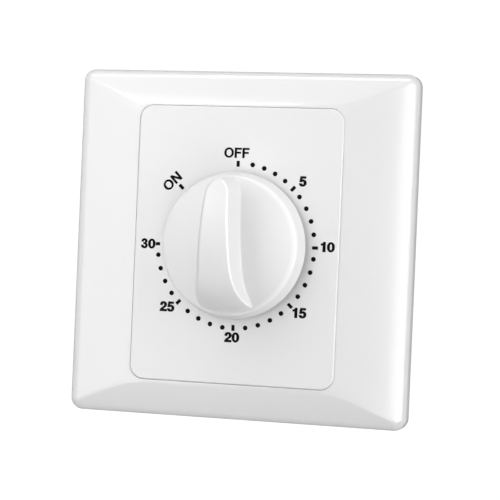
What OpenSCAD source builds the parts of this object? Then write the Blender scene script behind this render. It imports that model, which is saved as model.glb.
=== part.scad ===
// Wall timer switch: a square clip-on cover frame, a dial panel, a turning knob and a clockwork
// movement with its switch in a case that goes into the wall box.
// Pieces are drawn as seen from the front: x right, y up, z out of the wall, the wall at z = 0 and
// the knob's axis on x = y = 0. The facing() module then stands them up against the wall.

/* [Cover frame] */
// Side of the square frame
frame_side = 86; // [84:0.5:90]
// Corner radius seen from the front
frame_corner_r = 3; // [2:0.5:5]
// Height of the straight side wall over the wall
frame_side_h = 3.45; // [3:0.05:4]
// Radius of the rounded front edge
frame_edge_r = 3.5; // [2.6:0.1:3.8]
// Height of the window's lip over the wall
frame_lip_h = 9.2; // [8.8:0.1:10.4]
// Width of the level ledge round the window
frame_ledge = 0.8; // [0.4:0.1:1.2]
// How far the facets bulge in their middle
facet_bulge = 0.2; // [0.1:0.05:0.3]
// Thickness of the moulding
frame_wall = 2; // [1.6:0.1:2.4]
// Gap between the frame's rear rim and the wall
frame_wall_gap = 0.3; // [0.1:0.1:0.6]
// Thickness of the collar that runs round the window
collar_t = 1.5; // [1.2:0.1:2]
// Width of each clip
clip_w = 8; // [5:0.5:12]
// How far a clip's barb stands out
barb_out = 0.7; // [0.5:0.05:0.9]

/* [Dial panel] */
// Width of the panel
panel_w = 51.8; // [50.5:0.1:54]
// Height of the panel
panel_h = 67.8; // [66:0.1:69]
// Corner radius of the panel
panel_corner_r = 3.5; // [2.5:0.1:5]
// Radius of the panel's front edge
panel_edge_r = 0.4; // [0.3:0.1:1]
// Thickness of the panel's face
panel_t = 2; // [1.6:0.1:2.4]
// Thickness of the panel's side walls
panel_side_t = 1.4; // [1:0.1:1.8]
// How far the panel stands proud of the frame's lip
panel_proud = 0.4; // [0.2:0.1:0.8]
// Gap between the panel and the frame's window
panel_gap = 0.1; // [0.05:0.05:0.3]
// Radius of the panel's locating pegs
peg_r = 1.5; // [1.2:0.1:1.8]

/* [Knob] */
// Diameter of the knob at its foot
knob_d = 35.8; // [34.6:0.2:37]
// Gap between the knob and the dial panel
knob_gap = 1.2; // [0.8:0.1:1.6]
// How far the skirt draws in towards the rim
skirt_draft = 0.65; // [0.4:0.05:0.9]
// Radius of the rounded rim
rim_r = 1.3; // [0.8:0.1:1.6]
// Height of the domed top at the axis
dome_h = 8.1; // [7.8:0.1:9]
// Radius of the domed top
dome_r = 35.5; // [33:0.5:38]
// Height of the grip over the knob's foot
grip_h = 18.3; // [17.5:0.1:20]
// Half width of the grip at its pointing end
grip_nose = 2.95; // [2.5:0.05:3.4]
// Half width of the grip at its tail, before the flare
grip_tail = 4.75; // [4.3:0.05:5.4]
// Extra half width that the tail flares out by
grip_flare = 1.9; // [1:0.1:2.4]
// Radius of the grip's crown seen from the side
grip_crown_r = 31; // [28:0.5:36]
// Distance of the grip's crown from the axis, towards the pointing end
grip_crown_y = 3.4; // [2.5:0.1:4.5]
// Wall thickness of the knob
knob_wall = 2; // [1.6:0.1:2.4]
// Outer radius of the knob's hub
hub_r = 5.5; // [5:0.1:7]

/* [Base plate] */
// Distance between the wall screws
screw_spacing = 60.3; // [60:0.1:60.6]
// Width of the wall screw slots
slot_w = 4.5; // [4:0.1:5]
// End to end length of the wall screw slots
slot_l = 8; // [7:0.5:9]
// Thickness of the web
web_t = 2; // [1.6:0.1:2.4]
// How far the web lies in front of the wall
web_recess = 1; // [0.6:0.1:1.4]
// Width of the rim that bears on the wall
rim_w = 3; // [2.6:0.1:3.6]
// Height of the rim
rim_h = 4; // [3.8:0.1:4.2]
// Gap between the rim and the inside of the frame
rim_gap = 1; // [0.9:0.05:1.2]

/* [Case] */
// Wall thickness of the case
case_wall = 1.8; // [1.5:0.1:2.2]
// Depth of the case behind the web
case_depth = 30; // [29:0.5:34]
// Gap between the movement's plates and the case
case_gap = 0.6; // [0.4:0.1:0.9]
// Radius of the screw ears and bosses
ear_r = 2.8; // [2.5:0.1:3]
// Thickness of the screw ears
ear_t = 3; // [2.5:0.1:4]
// Radius of the case screws
case_screw_r = 1.4; // [1.2:0.05:1.6]
// Distance of the case screws from the middle line
case_screw_x = 12; // [10:0.5:15]

/* [Movement] */
// Module of the gear teeth
gear_module = 0.4; // [0.38:0.01:0.42]
// Teeth of the great wheel
great_teeth = 60; // [58:1:62]
// Teeth of the second wheel
second_teeth = 54; // [52:1:56]
// Teeth of the third wheel
third_teeth = 40; // [38:1:42]
// Teeth of each pinion
pinion_teeth = 8; // [8:1:9]
// Teeth of the escape wheel
escape_teeth = 15; // [13:1:17]
// Radius of the escape wheel
escape_r = 4.2; // [3.8:0.1:4.6]
// Thickness of the train wheels
wheel_t = 0.8; // [0.6:0.05:1]
// Thickness of the movement's plates
steel_t = 1; // [0.8:0.05:1.2]
// Margin of the plates round the wheels
plate_margin = 0.3; // [0.2:0.1:1]
// Radius of the pillars between the plates
pillar_r = 1.8; // [1.5:0.1:2]
// Radius of the control shaft at the knob
shaft_r = 3; // [2.8:0.05:3.2]
// Depth of the flat on the shaft
shaft_flat = 1.5; // [1.2:0.1:1.6]
// Radius of the shaft at the mainspring
spring_seat_r = 2.5; // [2.4:0.05:2.7]
// Radius of the shaft at the great wheel and the cam
tail_r = 2; // [1.8:0.05:2.2]
// Radius of the train arbors
arbor_r = 0.7; // [0.6:0.05:0.8]
// Radius of the pivots
pivot_r = 0.45; // [0.35:0.05:0.5]
// Turns of the mainspring
spring_turns = 6; // [5:1:7]
// Thickness of the mainspring strip
spring_t = 0.3; // [0.2:0.05:0.4]
// Width of the mainspring strip
spring_w = 3; // [2.5:0.1:3.5]
// Outer radius of the mainspring
spring_r = 9.7; // [9:0.1:10]
// Half length of the balance bar
balance_l = 7; // [6:0.1:8]

/* [Switch] */
// Radius of the switch cam
cam_r = 8.5; // [8:0.1:9]
// Thickness of the switch cam
cam_t = 3; // [2.6:0.1:3.4]
// Thickness of the contact leaves
leaf_t = 0.35; // [0.3:0.05:0.5]
// Radius of the follower nose on the moving leaf
nose_r = 2.2; // [1.9:0.1:2.5]
// Gap between the open contacts
contact_gap = 1.2; // [0.9:0.1:1.5]
// Radius of the wire bores in the terminals
wire_r = 1.6; // [1.4:0.1:1.8]
// Width of each terminal
terminal_w = 8; // [7:0.1:9]
// Length of each terminal along its wire
terminal_d = 6.5; // [6:0.1:7]
// Radius of the terminal screws
terminal_screw_r = 1.4; // [1.2:0.1:1.5]

/* [Hidden] */

$fn = 64;
// Points along a quarter of a rounded outline
corner_steps = 8;
// Overshoot of a cut past the face it opens
cut = 1;

// Clearances
running = 0.04;
push_fit = 0.02;
end_play = 0.2;
seat_play = 0.05;
piece_gap = 0.3;

// Cover frame, panel and base plate
frame_half = frame_side / 2;
window_w = panel_w + 2 * panel_gap;
window_h = panel_h + 2 * panel_gap;
window_corner_r = panel_corner_r + panel_gap;
ledge_x = window_w / 2 + frame_ledge;
ledge_y = window_h / 2 + frame_ledge;
ledge_r = window_corner_r + frame_ledge;
edge_arc = 80;
edge_step = 10;
least_corner_r = 0.4;
facet_steps = 4;
facet_level = frame_side_h + frame_edge_r * sin(edge_arc);
facet_half = frame_half - frame_edge_r * (1 - cos(edge_arc));
hollow_top = rim_h + piece_gap;
rim_half = frame_half - frame_wall - rim_gap;
web_rear = web_recess;
web_front = web_recess + web_t;
panel_front = frame_lip_h + panel_proud;
panel_rear = panel_front - panel_t;
peg_x = panel_w / 2 - panel_side_t - 2 * peg_r;
peg_y = panel_h / 2 - panel_side_t - 2 * peg_r;
peg_play = 0.1;
clip_x = frame_side / 4;
tooth_h = 1;
barb_h = 1.2;
head_room_r = 4.8;
head_room_h = 3.2;
screw_head_h = 2;
drive_w = 0.8;
drive_share = 0.6;
thread_gap = 2;

// Levels of the movement, from the web into the wall
front_plate_rear = web_rear - steel_t;
stop_t = 0.9;
stop_front = front_plate_rear - piece_gap;
stop_rear = stop_front - stop_t;
spring_gap = 0.4;
spring_front = stop_rear - spring_gap;
spring_rear = spring_front - spring_w;
great_t = 1;
great_gap = 0.8;
great_front = spring_rear - great_gap;
great_rear = great_front - great_t;
clutch_h = 1.6;
clutch_front = great_rear - seat_play;
clutch_rear = clutch_front - clutch_h;
second_gap = 0.5;
second_front = clutch_rear - second_gap;
second_rear = second_front - wheel_t;
third_gap = 1.4;
third_front = second_rear - third_gap;
third_rear = third_front - wheel_t;
balance_t = 1;
balance_gap = 0.6;
balance_front = third_rear - balance_gap;
balance_rear = balance_front - balance_t;
back_plate_gap = 0.8;
back_plate_front = balance_rear - back_plate_gap;
back_plate_rear = back_plate_front - steel_t;
cam_gap = 1.8;
cam_front = back_plate_rear - cam_gap;
cam_rear = cam_front - cam_t;
circlip_t = 0.6;
circlip_front = cam_rear - seat_play;
shaft_over = 0.8;
shaft_end = circlip_front - circlip_t - shaft_over;

// Gear train: pitch circles, places of the arbors and phases of the teeth
pressure_angle = 25;
wheel_addendum = 0.6;
pinion_addendum = 0.8;
tooth_root_gap = 0.25;
flank_gap = 0.03;
second_dir = 54;
third_dir = -63.6;
escape_dir = 249.9;
pallet_dir = 216.9;
pallet_distance = 6;
second_at = polar(pitch_distance(great_teeth), second_dir);
third_at = second_at + polar(pitch_distance(second_teeth), third_dir);
escape_at = third_at + polar(pitch_distance(third_teeth), escape_dir);
pallet_at = escape_at + polar(pallet_distance, pallet_dir);
second_phase = mesh_phase(0, great_teeth, second_dir);
third_phase = mesh_phase(0, second_teeth, third_dir);
escape_phase = mesh_phase(0, third_teeth, escape_dir);
pinion_over = 0.3;
arbors = [second_at, third_at, escape_at, pallet_at];

// Movement plates and case
plate_half_x = third_at.x + wheel_tip(third_teeth) + plate_margin;
plate_half_y = second_at.y + wheel_tip(second_teeth) + plate_margin;
plate_corner_r = 1.5;
pillar_inset = 3;
pillar_places = corners(plate_half_x - pillar_inset, plate_half_y - pillar_inset);
pillar_spigot_r = 1.2;
pillar_thread = 4;
movement_screw_r = 1.5;
movement_screw_inset = [7, 10];
movement_screw_at = [plate_half_x, plate_half_y] - movement_screw_inset;
movement_screw_places = [
  for (side = [-1, 1]) [side * movement_screw_at.x, -side * movement_screw_at.y]
];
movement_head_over = 1.3;
movement_head_r = movement_screw_r + movement_head_over;
pillar_head_over = 1;
pillar_head_r = pillar_spigot_r + pillar_head_over;
pillar_head_h = 1.4;
case_in_x = plate_half_x + case_gap;
case_in_y = plate_half_y + case_gap;
case_half_x = case_in_x + case_wall;
case_half_y = case_in_y + case_wall;
case_corner_r = 3;
case_edge_r = 1;
case_rear = web_rear - case_depth;
case_floor = case_rear + case_wall;
case_head_over = 1;
case_head_r = case_screw_r + case_head_over;
ear_y = case_half_y + case_head_r + piece_gap;
ear_places = corners(case_screw_x, ear_y);
boss_gap = 0.6;
boss_top = panel_rear - boss_gap;
pocket_rib_t = 1.2;
pocket_drop = 1;

// Knob: the rim's fillet touches the dome and the skirt
knob_r = knob_d / 2;
knob_foot = panel_front + knob_gap;
dome_centre = dome_h - dome_r;
rim_x = knob_r - skirt_draft - rim_r;
rim_z = dome_centre + sqrt((dome_r - rim_r) ^ 2 - rim_x ^ 2);
rim_lean = atan2(rim_z - dome_centre, rim_x);
rim_edge_r = rim_x + rim_r * cos(rim_lean);
rim_edge_z = rim_z + rim_r * sin(rim_lean);
grip_nose_set = 0.8;
nose_lean = 15;
grip_nose_y = rim_edge_r - grip_nose - grip_nose_set;
grip_tail_set = 0.15;
grip_corner_x = grip_tail + grip_flare;
grip_tail_y = -sqrt((rim_edge_r - grip_tail_set) ^ 2 - grip_corner_x ^ 2);
grip_reach = norm([grip_corner_x, grip_crown_y - grip_tail_y]);
grip_end = grip_reach + grip_tail_set;
flare_from = -5;
fall_from = 10;
crown_steps = 20;
grip_cap = 8.5;
bore_top = grip_h - grip_cap;
spring_leaf_t = 0.4;
spring_leaf_set = 1;

// Shaft, stop and mainspring
bush_wall = 1.2;
bush_r = shaft_r + bush_wall;
bush_flange = 1.8;
bush_flange_r = bush_r + bush_flange;
bush_flange_h = web_t - end_play;
bush_front = panel_front - boss_gap;
stop_washer_w = 1.9;
stop_washer_r = spring_seat_r + stop_washer_w;
stop_lug_out = 2;
stop_lug_r = stop_washer_r + stop_lug_out;
stop_lug_half = 0.7;
stop_tab_half = 0.9;
stop_tab_dir = 157.5;
stop_tab_in = stop_washer_r + end_play;
tail_flat = 0.5;
groove_depth = 0.4;
groove_r = tail_r - groove_depth;
clutch_sheet = 0.35;
clutch_hub_w = 1.4;
clutch_hub_r = tail_r + clutch_hub_w;
clutch_dish_w = 2.6;
clutch_r = clutch_hub_r + clutch_dish_w;
circlip_over = 1;
circlip_r = tail_r + circlip_over;
spring_steps = 24;
spring_in_r = spring_seat_r + spring_t / 2 + seat_play;
spring_end_dir = 230;
post_r = 0.8;
post_at = polar(spring_r + spring_t / 2 + post_r + push_fit, spring_end_dir);

// Pallets: the pins stay clear of the escape wheel over the whole swing
pallet_pin_r = 0.35;
pallet_swing_room = 0.65;
pallet_spread = 55;
pallet_pin_out = escape_r + pallet_pin_r + pallet_swing_room;
pallet_gap = 0.75;
pallet_front = great_rear - pallet_gap;
pallet_t = 0.8;
pallet_rear = pallet_front - pallet_t;
pallet_pin_over = 0.15;
pallet_arm_r = 0.7;
pallet_hub_w = 0.9;
pallet_hub_r = arbor_r + pallet_hub_w;
escape_tooth_h = 1.1;
escape_tip_share = 0.08;
escape_root_shares = [0.4, 0.85];
balance_half = 1.1;
balance_weight_r = 1.9;
balance_hub_w = 1;
balance_hub_r = arbor_r + balance_hub_w;
wheel_hub = 1.2;
wheel_rim = 1;
wheel_spoke = 1.2;
wheel_holes = 4;
pallet_pin_places = [
  for (side = [-1, 1]) escape_at + polar(pallet_pin_out, pallet_dir + side * pallet_spread)
];

// Switch: the leaves run beside the cam and stand on their terminals
leaf_gap = 1;
leaf_x = -cam_r - leaf_gap;
leaf_front = cam_front - end_play;
leaf_rear = cam_rear + end_play;
notch_gap = 0.4;
cam_hub_w = 2;
cam_hub_r = tail_r + cam_hub_w;
foot_front = (leaf_front + leaf_rear) / 2;
foot_rear = foot_front - leaf_t;
rivet_r = 1.3;
rivet_h = 0.7;
rivet_y = 7.5;
fixed_x = leaf_x - leaf_t - 2 * rivet_h - contact_gap;
terminal_over = 0.5;
terminal_x = leaf_x - terminal_w / 2 + terminal_over;
terminal_set = 0.8;
terminal_y = case_in_y - terminal_d / 2 - terminal_set;
terminal_inner_y = terminal_y - terminal_d / 2;
terminal_h = foot_rear - case_floor;
wire_roof = 1.3;
wire_z = foot_rear - wire_roof - wire_r;
wire_entry_gap = 0.6;
wire_entry_r = wire_r + wire_entry_gap;
terminal_head_over = 1.4;
terminal_head_r = terminal_screw_r + terminal_head_over;
terminal_head_h = case_wall - piece_gap;
leaf_end = 0.6;
leaf_tip_y = rivet_y + rivet_r + leaf_end;
leaf_root_y = terminal_inner_y - leaf_end;
foot_w = 3.4;
foot_end = 1;
foot_reach = terminal_d - foot_end;

// Vectors, outlines and teeth
function polar(r, angle) = r * [cos(angle), sin(angle)];
function corners(x, y) = [for (sx = [-1, 1], sy = [-1, 1]) [sx * x, sy * y]];
function arc_points(centre, r, from, to, steps) =
  [for (i = [0:steps]) centre + polar(r, from + (to - from) * i / steps)];
function rounded_box(half_x, half_y, r) =
  [for (quarter = [0:3])
    let (
      sx = quarter == 0 || quarter == 3 ? 1 : -1,
      sy = quarter < 2 ? 1 : -1,
      from = 90 * quarter
    )
    each arc_points([sx * (half_x - r), sy * (half_y - r)], r, from, from + 90, corner_steps)];
function pitch_r(teeth) = teeth * gear_module / 2;
function pitch_distance(teeth) = pitch_r(teeth) + pitch_r(pinion_teeth);
function wheel_tip(teeth) = pitch_r(teeth) + wheel_addendum * gear_module;
function involute(angle) = tan(angle) * 180 / PI - angle;
function tooth_half(r, pitch, teeth) =
  let (base = pitch * cos(pressure_angle))
  90 / teeth - flank_gap / pitch * 180 / PI + involute(pressure_angle) -
    (r > base ? involute(acos(base / r)) : 0);
function gear_outline(teeth, addendum, mate_addendum, steps) =
  let (
    pitch = pitch_r(teeth),
    tip = pitch + addendum * gear_module,
    root = pitch - (mate_addendum + tooth_root_gap) * gear_module
  )
  [for (tooth = [0:teeth - 1], side = [-1, 1], k = [0:steps])
    let (
      share = (side < 0 ? k : steps - k) / steps,
      r = root + (tip - root) * share
    )
    polar(r, 360 * tooth / teeth + side * tooth_half(r, pitch, teeth))];
function mesh_phase(wheel_phase, wheel_teeth, direction) =
  direction + 180 + ((direction - wheel_phase) * wheel_teeth / 360 - 0.5) * 360 / pinion_teeth;
function spring_point(i, shift) =
  let (share = i / (spring_steps * spring_turns))
  polar(spring_in_r + (spring_r - spring_in_r) * share + shift,
    spring_end_dir - 360 * spring_turns * (1 - share));
function grip_half(y) =
  let (
    share = (grip_nose_y - y) / (grip_nose_y - grip_tail_y),
    flare = max(0, (flare_from - y) / (flare_from - grip_tail_y))
  )
  grip_nose + (grip_tail - grip_nose) * share + grip_flare * flare ^ 2;
function crown_z(r) =
  let (
    arc = grip_crown_r - sqrt(grip_crown_r ^ 2 - r ^ 2),
    end_arc = grip_crown_r - sqrt(grip_crown_r ^ 2 - grip_reach ^ 2),
    fall = max(0, (r - fall_from) / (grip_reach - fall_from))
  )
  grip_h - arc - (grip_h - end_arc - rim_edge_z) * fall ^ 4;

// Stands a piece drawn from the front up against the wall
module facing() {
  rotate([90, 0, 0]) children();
}

// Rounded plate between two levels
module slab(half_x, half_y, r, low, high) {
  translate([0, 0, low]) linear_extrude(high - low) polygon(rounded_box(half_x, half_y, r));
}

// Rounded plate whose front edge is rounded over
module soft_slab(half_x, half_y, r, edge, low, high) {
  hull() {
    slab(half_x, half_y, r, low, high - edge);
    for (lean = [2 * edge_step:edge_step:90]) {
      inset = edge * (1 - cos(lean));
      level = high - edge * (1 - sin(lean));
      slab(half_x - inset, half_y - inset, r - inset, low, level);
    }
  }
}

module rod(r, low, high) {
  translate([0, 0, low]) cylinder(r = r, h = high - low);
}

module rods(places, r, low, high) {
  for (place = places) translate(place) rod(r, low, high);
}

// Screw with a cross recess, whose head lies between head_z and head_z + head_h;
// way is 1 for a head that faces out of the wall and -1 for one that faces into it
module screw(shank_r, head_r, head_z, head_h, tip_z, way) {
  recess_l = 2 * drive_share * head_r;
  recess_z = way > 0 ? head_z + head_h / 2 : head_z - cut;
  difference() {
    union() {
      rod(head_r, head_z, head_z + head_h);
      rod(shank_r, min(head_z, tip_z), max(head_z + head_h, tip_z));
    }
    for (turn = [0, 90]) rotate(turn) translate([-recess_l / 2, -drive_w / 2, recess_z])
      cube([recess_l, drive_w, head_h / 2 + cut]);
  }
}

// Convex outside of the frame: side walls, rounded front edge and crowned facets up to the window's ledge
module frame_form() {
  hull() {
    slab(frame_half, frame_half, frame_corner_r, frame_wall_gap, frame_side_h);
    for (lean = [edge_step:edge_step:edge_arc]) {
      inset = frame_edge_r * (1 - cos(lean));
      level = frame_side_h + frame_edge_r * sin(lean);
      slab(frame_half - inset, frame_half - inset, max(frame_corner_r - inset, least_corner_r),
        frame_side_h, level);
    }
    for (i = [0:facet_steps - 1]) {
      share = i / facet_steps;
      level = frame_lip_h + (facet_level - frame_lip_h) * share + 4 * facet_bulge * share * (1 - share);
      slab(ledge_x + (facet_half - ledge_x) * share, ledge_y + (facet_half - ledge_y) * share,
        ledge_r + (least_corner_r - ledge_r) * share, frame_side_h, level);
    }
  }
}

module frame_hollow() {
  hull() {
    slab(frame_half - frame_wall, frame_half - frame_wall, frame_corner_r / 2, -cut, hollow_top);
    slab(window_w / 2, window_h / 2, window_corner_r, hollow_top, frame_lip_h - frame_wall);
  }
}

// Bars along the top and bottom edges, at the four clips
module clip_bars(inner, outer, low, high) {
  for (sx = [-1, 1], sy = [-1, 1])
    translate([sx * clip_x - clip_w / 2, sy > 0 ? inner : -outer, low])
      cube([clip_w, outer - inner, high - low]);
}

module outer_frame() {
  tooth_low = rim_h - tooth_h;
  color("white") difference() {
    union() {
      difference() {
        frame_form();
        frame_hollow();
      }
      slab(window_w / 2 + collar_t, window_h / 2 + collar_t, window_corner_r + collar_t,
        web_front, frame_lip_h - frame_wall / 2);
      clip_bars(frame_half - frame_wall - barb_out, frame_half - frame_wall / 2,
        tooth_low - piece_gap - barb_h, tooth_low - piece_gap);
    }
    slab(window_w / 2, window_h / 2, window_corner_r, -cut, frame_lip_h + cut);
    for (sx = [-1, 1]) translate([sx * screw_spacing / 2, 0, 0])
      rod(head_room_r, web_front - cut, web_front + head_room_h);
  }
}

module center_panel() {
  inner_x = panel_w / 2 - panel_side_t;
  inner_y = panel_h / 2 - panel_side_t;
  color("white") difference() {
    union() {
      difference() {
        soft_slab(panel_w / 2, panel_h / 2, panel_corner_r, panel_edge_r, web_front, panel_front);
        slab(inner_x, inner_y, panel_corner_r - panel_side_t, web_front - cut, panel_rear);
      }
      rods(corners(peg_x, peg_y), peg_r, web_rear, panel_rear + panel_t / 2);
    }
    rod(bush_r + piece_gap, panel_rear - cut, panel_front + cut);
  }
}

// Screw slot along x, centred on the screw's place
module wall_slot() {
  half_run = (slot_l - slot_w) / 2;
  for (sx = [-1, 1]) translate([sx * half_run, 0, 0]) rod(slot_w / 2, -cut, rim_h + cut);
  translate([-half_run, -slot_w / 2, -cut]) cube([2 * half_run, slot_w, rim_h + 2 * cut]);
}

module base_plate() {
  color("whitesmoke") difference() {
    union() {
      difference() {
        slab(rim_half, rim_half, frame_corner_r / 2, 0, rim_h);
        slab(rim_half - rim_w, rim_half - rim_w, frame_corner_r / 2, web_front, rim_h + cut);
        slab(rim_half - rim_w, rim_half - rim_w, frame_corner_r / 2, -cut, web_rear);
      }
      clip_bars(rim_half - rim_w / 2, rim_half + barb_out, rim_h - tooth_h, rim_h);
      rods(ear_places, ear_r, web_rear, boss_top);
    }
    for (sx = [-1, 1]) translate([sx * screw_spacing / 2, 0, 0]) wall_slot();
    rod(bush_flange_r + piece_gap, -cut, rim_h);
    rods(corners(peg_x, peg_y), peg_r + peg_play, -cut, rim_h);
    rods(movement_screw_places, movement_screw_r + peg_play, -cut, rim_h);
    rods(ear_places, case_screw_r, -cut, boss_top - thread_gap / 2);
  }
}

// Ribs that hold a terminal on both sides
module terminal_pocket(side) {
  rib_l = case_in_y + case_wall / 2 - terminal_inner_y;
  rib_x = terminal_w / 2 + push_fit + pocket_rib_t / 2;
  rib_y = side * (terminal_inner_y + rib_l / 2);
  for (sx = [-1, 1])
    translate([terminal_x + sx * rib_x - pocket_rib_t / 2, rib_y - rib_l / 2, case_floor - case_wall / 2])
      cube([pocket_rib_t, rib_l, terminal_h - pocket_drop + case_wall / 2]);
}

module rear_case() {
  color("gainsboro") difference() {
    union() {
      difference() {
        mirror([0, 0, 1])
          soft_slab(case_half_x, case_half_y, case_corner_r, case_edge_r, -web_rear, -case_rear);
        slab(case_in_x, case_in_y, case_corner_r - case_wall, case_floor, web_rear + cut);
      }
      for (side = [-1, 1]) terminal_pocket(side);
      for (place = ear_places) {
        translate(place) rod(ear_r, web_rear - ear_t, web_rear);
        translate([place.x - ear_r, place.y > 0 ? case_half_y - case_wall / 2 : -ear_y, web_rear - ear_t])
          cube([2 * ear_r, ear_y - case_half_y + case_wall / 2, ear_t]);
      }
    }
    rods(ear_places, case_screw_r + peg_play, web_rear - ear_t - cut, web_rear + cut);
    for (side = [-1, 1]) translate([terminal_x, side * terminal_y, 0]) {
      rod(terminal_head_r + piece_gap, case_rear - cut, case_floor + push_fit);
      translate([0, side * (case_half_y - terminal_y + cut), wire_z])
        rotate([side * 90, 0, 0]) cylinder(r = wire_entry_r, h = case_wall + 2 * cut);
    }
  }
}

module case_screws() {
  color("silver")
    for (place = ear_places) translate(place)
      screw(case_screw_r, case_head_r, web_rear - ear_t - screw_head_h, screw_head_h,
        boss_top - thread_gap, -1);
}

module movement_screws() {
  color("silver")
    for (place = movement_screw_places) translate(place)
      screw(movement_screw_r, movement_head_r, web_front, screw_head_h, front_plate_rear, 1);
}

module front_plate() {
  color("lightsteelblue") difference() {
    union() {
      slab(plate_half_x, plate_half_y, plate_corner_r, front_plate_rear, web_rear);
      rotate(stop_tab_dir)
        translate([stop_tab_in, -stop_tab_half, stop_rear])
          cube([stop_lug_r - stop_tab_in, 2 * stop_tab_half, web_rear - steel_t / 2 - stop_rear]);
    }
    rod(bush_r, stop_rear, web_rear + cut);
    rods(arbors, pivot_r + running, front_plate_rear - cut, web_rear + cut);
    rods(pillar_places, pillar_spigot_r, front_plate_rear - cut, web_rear + cut);
    rods(movement_screw_places, movement_screw_r, front_plate_rear - cut, web_rear + cut);
    translate(post_at) rod(post_r, front_plate_rear - cut, web_rear + cut);
  }
}

module back_plate() {
  color("lightsteelblue") difference() {
    slab(plate_half_x, plate_half_y, plate_corner_r, back_plate_rear, back_plate_front);
    rod(tail_r + running, back_plate_rear - cut, back_plate_front + cut);
    rods(arbors, pivot_r + running, back_plate_rear - cut, back_plate_front + cut);
    rods(pillar_places, pillar_spigot_r + peg_play, back_plate_rear - cut, back_plate_front + cut);
  }
}

module plate_pillars() {
  color("silver") difference() {
    union() {
      rods(pillar_places, pillar_r, back_plate_front, front_plate_rear);
      rods(pillar_places, pillar_spigot_r, front_plate_rear - cut, web_rear);
    }
    rods(pillar_places, pillar_spigot_r, back_plate_front - cut, back_plate_front + pillar_thread + cut);
  }
}

module pillar_screws() {
  color("silver")
    for (place = pillar_places) translate(place)
      screw(pillar_spigot_r, pillar_head_r, back_plate_rear - pillar_head_h, pillar_head_h,
        back_plate_front + pillar_thread, -1);
}

module shaft_bush() {
  color("goldenrod") difference() {
    union() {
      rod(bush_r, front_plate_rear, bush_front);
      rod(bush_flange_r, web_rear, web_rear + bush_flange_h);
    }
    rod(shaft_r + running, front_plate_rear - cut, bush_front + cut);
  }
}

module spring_post() {
  color("silver") translate(post_at) rod(post_r, spring_rear, web_rear);
}

// Spiral strip from the shaft out to the post
module mainspring() {
  last = spring_steps * spring_turns;
  outline = concat(
    [for (i = [0:last]) spring_point(i, spring_t / 2)],
    [for (i = [last:-1:0]) spring_point(i, -spring_t / 2)]
  );
  color("slategray") translate([0, 0, spring_rear]) linear_extrude(spring_w) polygon(outline);
}

// Skirt, rounded rim and domed top
module knob_body() {
  intersection() {
    rotate_extrude() polygon(concat(
      [[0, 0], [knob_r, 0]],
      arc_points([rim_x, rim_z], rim_r, 0, rim_lean, corner_steps),
      [[rim_edge_r, dome_h + cut], [0, dome_h + cut]]
    ));
    translate([0, 0, dome_centre]) sphere(r = dome_r, $fn = 128);
  }
}

// Wedge-shaped grip: narrow pointing end, flared tail, crown that falls to the rim at the tail
module knob_grip() {
  side = [
    for (i = [0:crown_steps]) let (y = grip_tail_y + (grip_nose_y - grip_tail_y) * i / crown_steps)
      [grip_half(y), y]
  ];
  outline = concat(
    [[grip_corner_x, -knob_r]],
    side,
    arc_points([0, grip_nose_y], grip_nose, nose_lean, 180 - nose_lean, corner_steps),
    [for (i = [crown_steps:-1:0]) [-side[i].x, side[i].y]],
    [[-grip_corner_x, -knob_r]]
  );
  crown = concat(
    [[0, 0], [grip_end, 0]],
    [for (i = [crown_steps:-1:0]) let (r = grip_end * i / crown_steps) [r, crown_z(r)]]
  );
  intersection() {
    translate([0, 0, rim_z]) linear_extrude(grip_h) polygon(outline);
    translate([0, grip_crown_y, 0]) rotate_extrude() polygon(crown);
  }
}

// Hollow under the domed top, round the hub
module knob_hollow() {
  intersection() {
    difference() {
      rod(rim_x + rim_r - knob_wall, -cut, dome_h);
      rod(hub_r, -2 * cut, dome_h + cut);
    }
    translate([0, 0, dome_centre]) sphere(r = dome_r - knob_wall, $fn = 128);
  }
}

// Round bar with a flat on its upper side
module d_bar(r, flat_y, low, high) {
  difference() {
    rod(r, low, high);
    translate([-r - cut, flat_y, low - cut]) cube([2 * (r + cut), r + cut, high - low + 2 * cut]);
  }
}

module knob() {
  color("white") translate([0, 0, knob_foot]) difference() {
    union() {
      knob_body();
      knob_grip();
    }
    knob_hollow();
    d_bar(shaft_r + push_fit, shaft_r - shaft_flat + spring_leaf_t + push_fit, -cut, bore_top);
  }
}

// Steel leaf between the shaft's flat and the hub
module knob_spring() {
  flat_y = shaft_r - shaft_flat;
  half = sqrt(shaft_r ^ 2 - (flat_y + spring_leaf_t) ^ 2) - end_play;
  color("slategray") translate([-half, flat_y, knob_foot + spring_leaf_set])
    cube([2 * half, spring_leaf_t, bore_top - 2 * spring_leaf_set]);
}

module control_shaft() {
  flat_low = panel_front;
  tip = knob_foot + bore_top - end_play;
  color("silver") difference() {
    union() {
      d_bar(shaft_r, shaft_r - shaft_flat, flat_low, tip);
      rod(shaft_r, stop_front, flat_low);
      rod(spring_seat_r, great_front + seat_play, stop_front);
      d_bar(tail_r, tail_r - tail_flat, shaft_end, back_plate_rear - piece_gap);
      rod(tail_r, back_plate_rear - piece_gap, great_front + seat_play);
    }
    translate([0, 0, circlip_front - circlip_t - seat_play]) difference() {
      cylinder(r = tail_r + cut, h = circlip_t + seat_play);
      cylinder(r = groove_r, h = circlip_t + seat_play);
    }
  }
}

// Washer with the lug that meets the stop tab at both ends of the knob's travel
module stop_washer() {
  color("silver") difference() {
    union() {
      rod(stop_washer_r, stop_rear, stop_front);
      translate([-stop_lug_half, 0, stop_rear]) cube([2 * stop_lug_half, stop_lug_r, stop_t]);
    }
    rod(spring_seat_r, stop_rear - cut, stop_front + cut);
  }
}

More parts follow.
